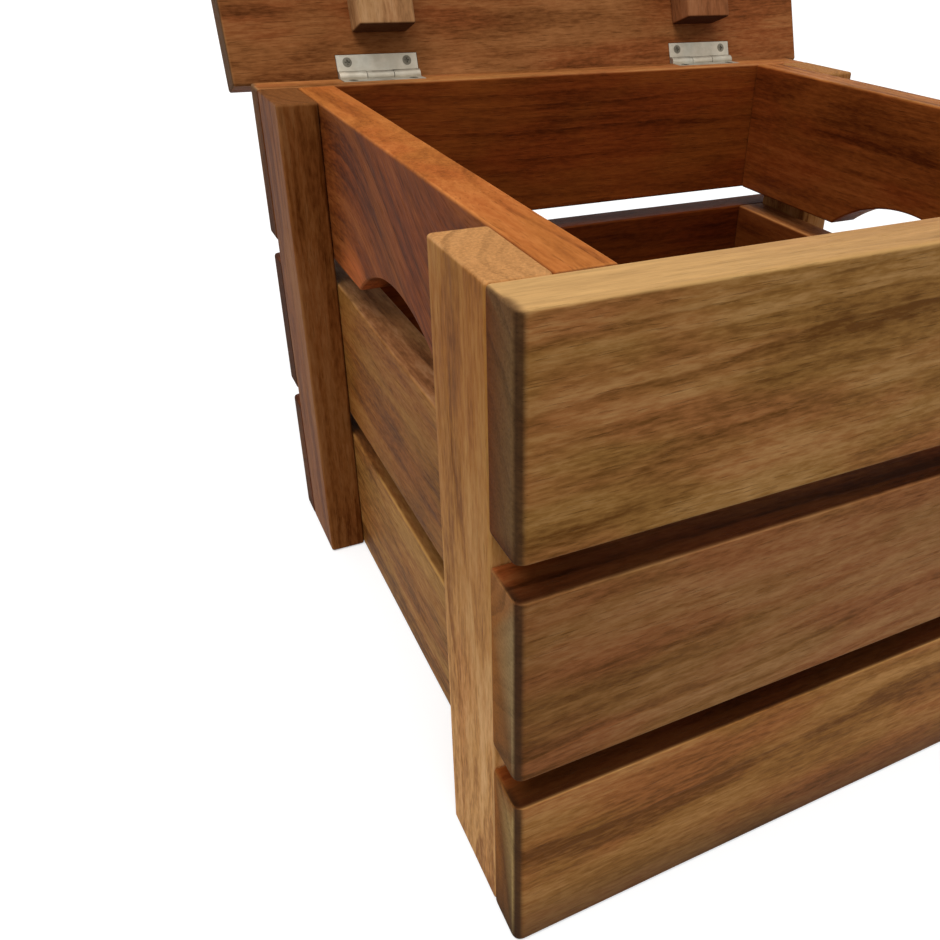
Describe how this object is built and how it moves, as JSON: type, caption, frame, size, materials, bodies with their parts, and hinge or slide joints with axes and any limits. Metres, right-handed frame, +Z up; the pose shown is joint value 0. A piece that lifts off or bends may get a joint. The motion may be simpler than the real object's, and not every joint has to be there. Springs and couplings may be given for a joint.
{
  "type": "wooden box",
  "caption": "Slatted wooden box with corner battens, arched hand holes at both sides and a boarded lid on butt hinges, shown open.",
  "frame": {"origin": "middle of the box's footprint, on the plane that it stands on", "axes": "+X to the right seen from the front, +Y to the back where the hinges are, +Z up"},
  "size_m": [0.406, 0.5143, 0.6443],
  "materials": {
    "front_slats": "oiled, fine sawn grain",
    "back_slats": "dark oiled, fine sawn grain",
    "side_boards": "oiled, dark figured grain",
    "battens": "oiled, straight grain",
    "floor_boards": "oiled, fine sawn grain",
    "lid_boards": "oiled, fine sawn grain",
    "lid_cleats": "oiled, straight grain",
    "hinges": "dull zinc plate",
    "screws": "dull zinc plate",
    "nails": "bright wire, heads rubbed over with wood filler"
  },
  "bodies": {
    "box": {"front_slat_bottom": "front_slats", "front_slat_middle": "front_slats", "front_slat_top": "front_slats", "back_slat_bottom": "back_slats", "back_slat_middle": "back_slats", "back_slat_top": "back_slats", "left_board_bottom": "side_boards", "left_board_middle": "side_boards", "left_board_top": "side_boards", "right_board_bottom": "side_boards", "right_board_middle": "side_boards", "right_board_top": "side_boards", "left_front_batten": "battens", "left_back_batten": "battens", "right_front_batten": "battens", "right_back_batten": "battens", "left_bearer": "floor_boards", "middle_bearer": "floor_boards", "right_bearer": "floor_boards", "base_board_1": "floor_boards", "base_board_2": "floor_boards", "base_board_3": "floor_boards", "base_board_4": "floor_boards", "base_board_5": "floor_boards", "left_hinge_box_leaf": "hinges", "right_hinge_box_leaf": "hinges", "left_hinge_pin": "hinges", "right_hinge_pin": "hinges", "box_hinge_screws": "screws", "front_slat_nails": "nails", "back_slat_nails": "nails", "left_board_nails": "nails", "right_board_nails": "nails", "bearer_nails": "nails", "base_nails": "nails"},
    "lid": {"lid_board_front": "lid_boards", "lid_board_mid_front": "lid_boards", "lid_board_mid_rear": "lid_boards", "lid_board_rear": "lid_boards", "left_lid_cleat": "lid_cleats", "right_lid_cleat": "lid_cleats", "left_hinge_lid_leaf": "hinges", "right_hinge_lid_leaf": "hinges", "lid_hinge_screws": "screws", "lid_nails": "nails"}
  },
  "joints": [
    {"name": "lid_hinge", "type": "hinge", "parent": "box", "child": "lid", "pos_m": [0, 0.185, 0.2865], "axis": [1, 0, 0], "range_deg": [0, 109]}
  ]
}
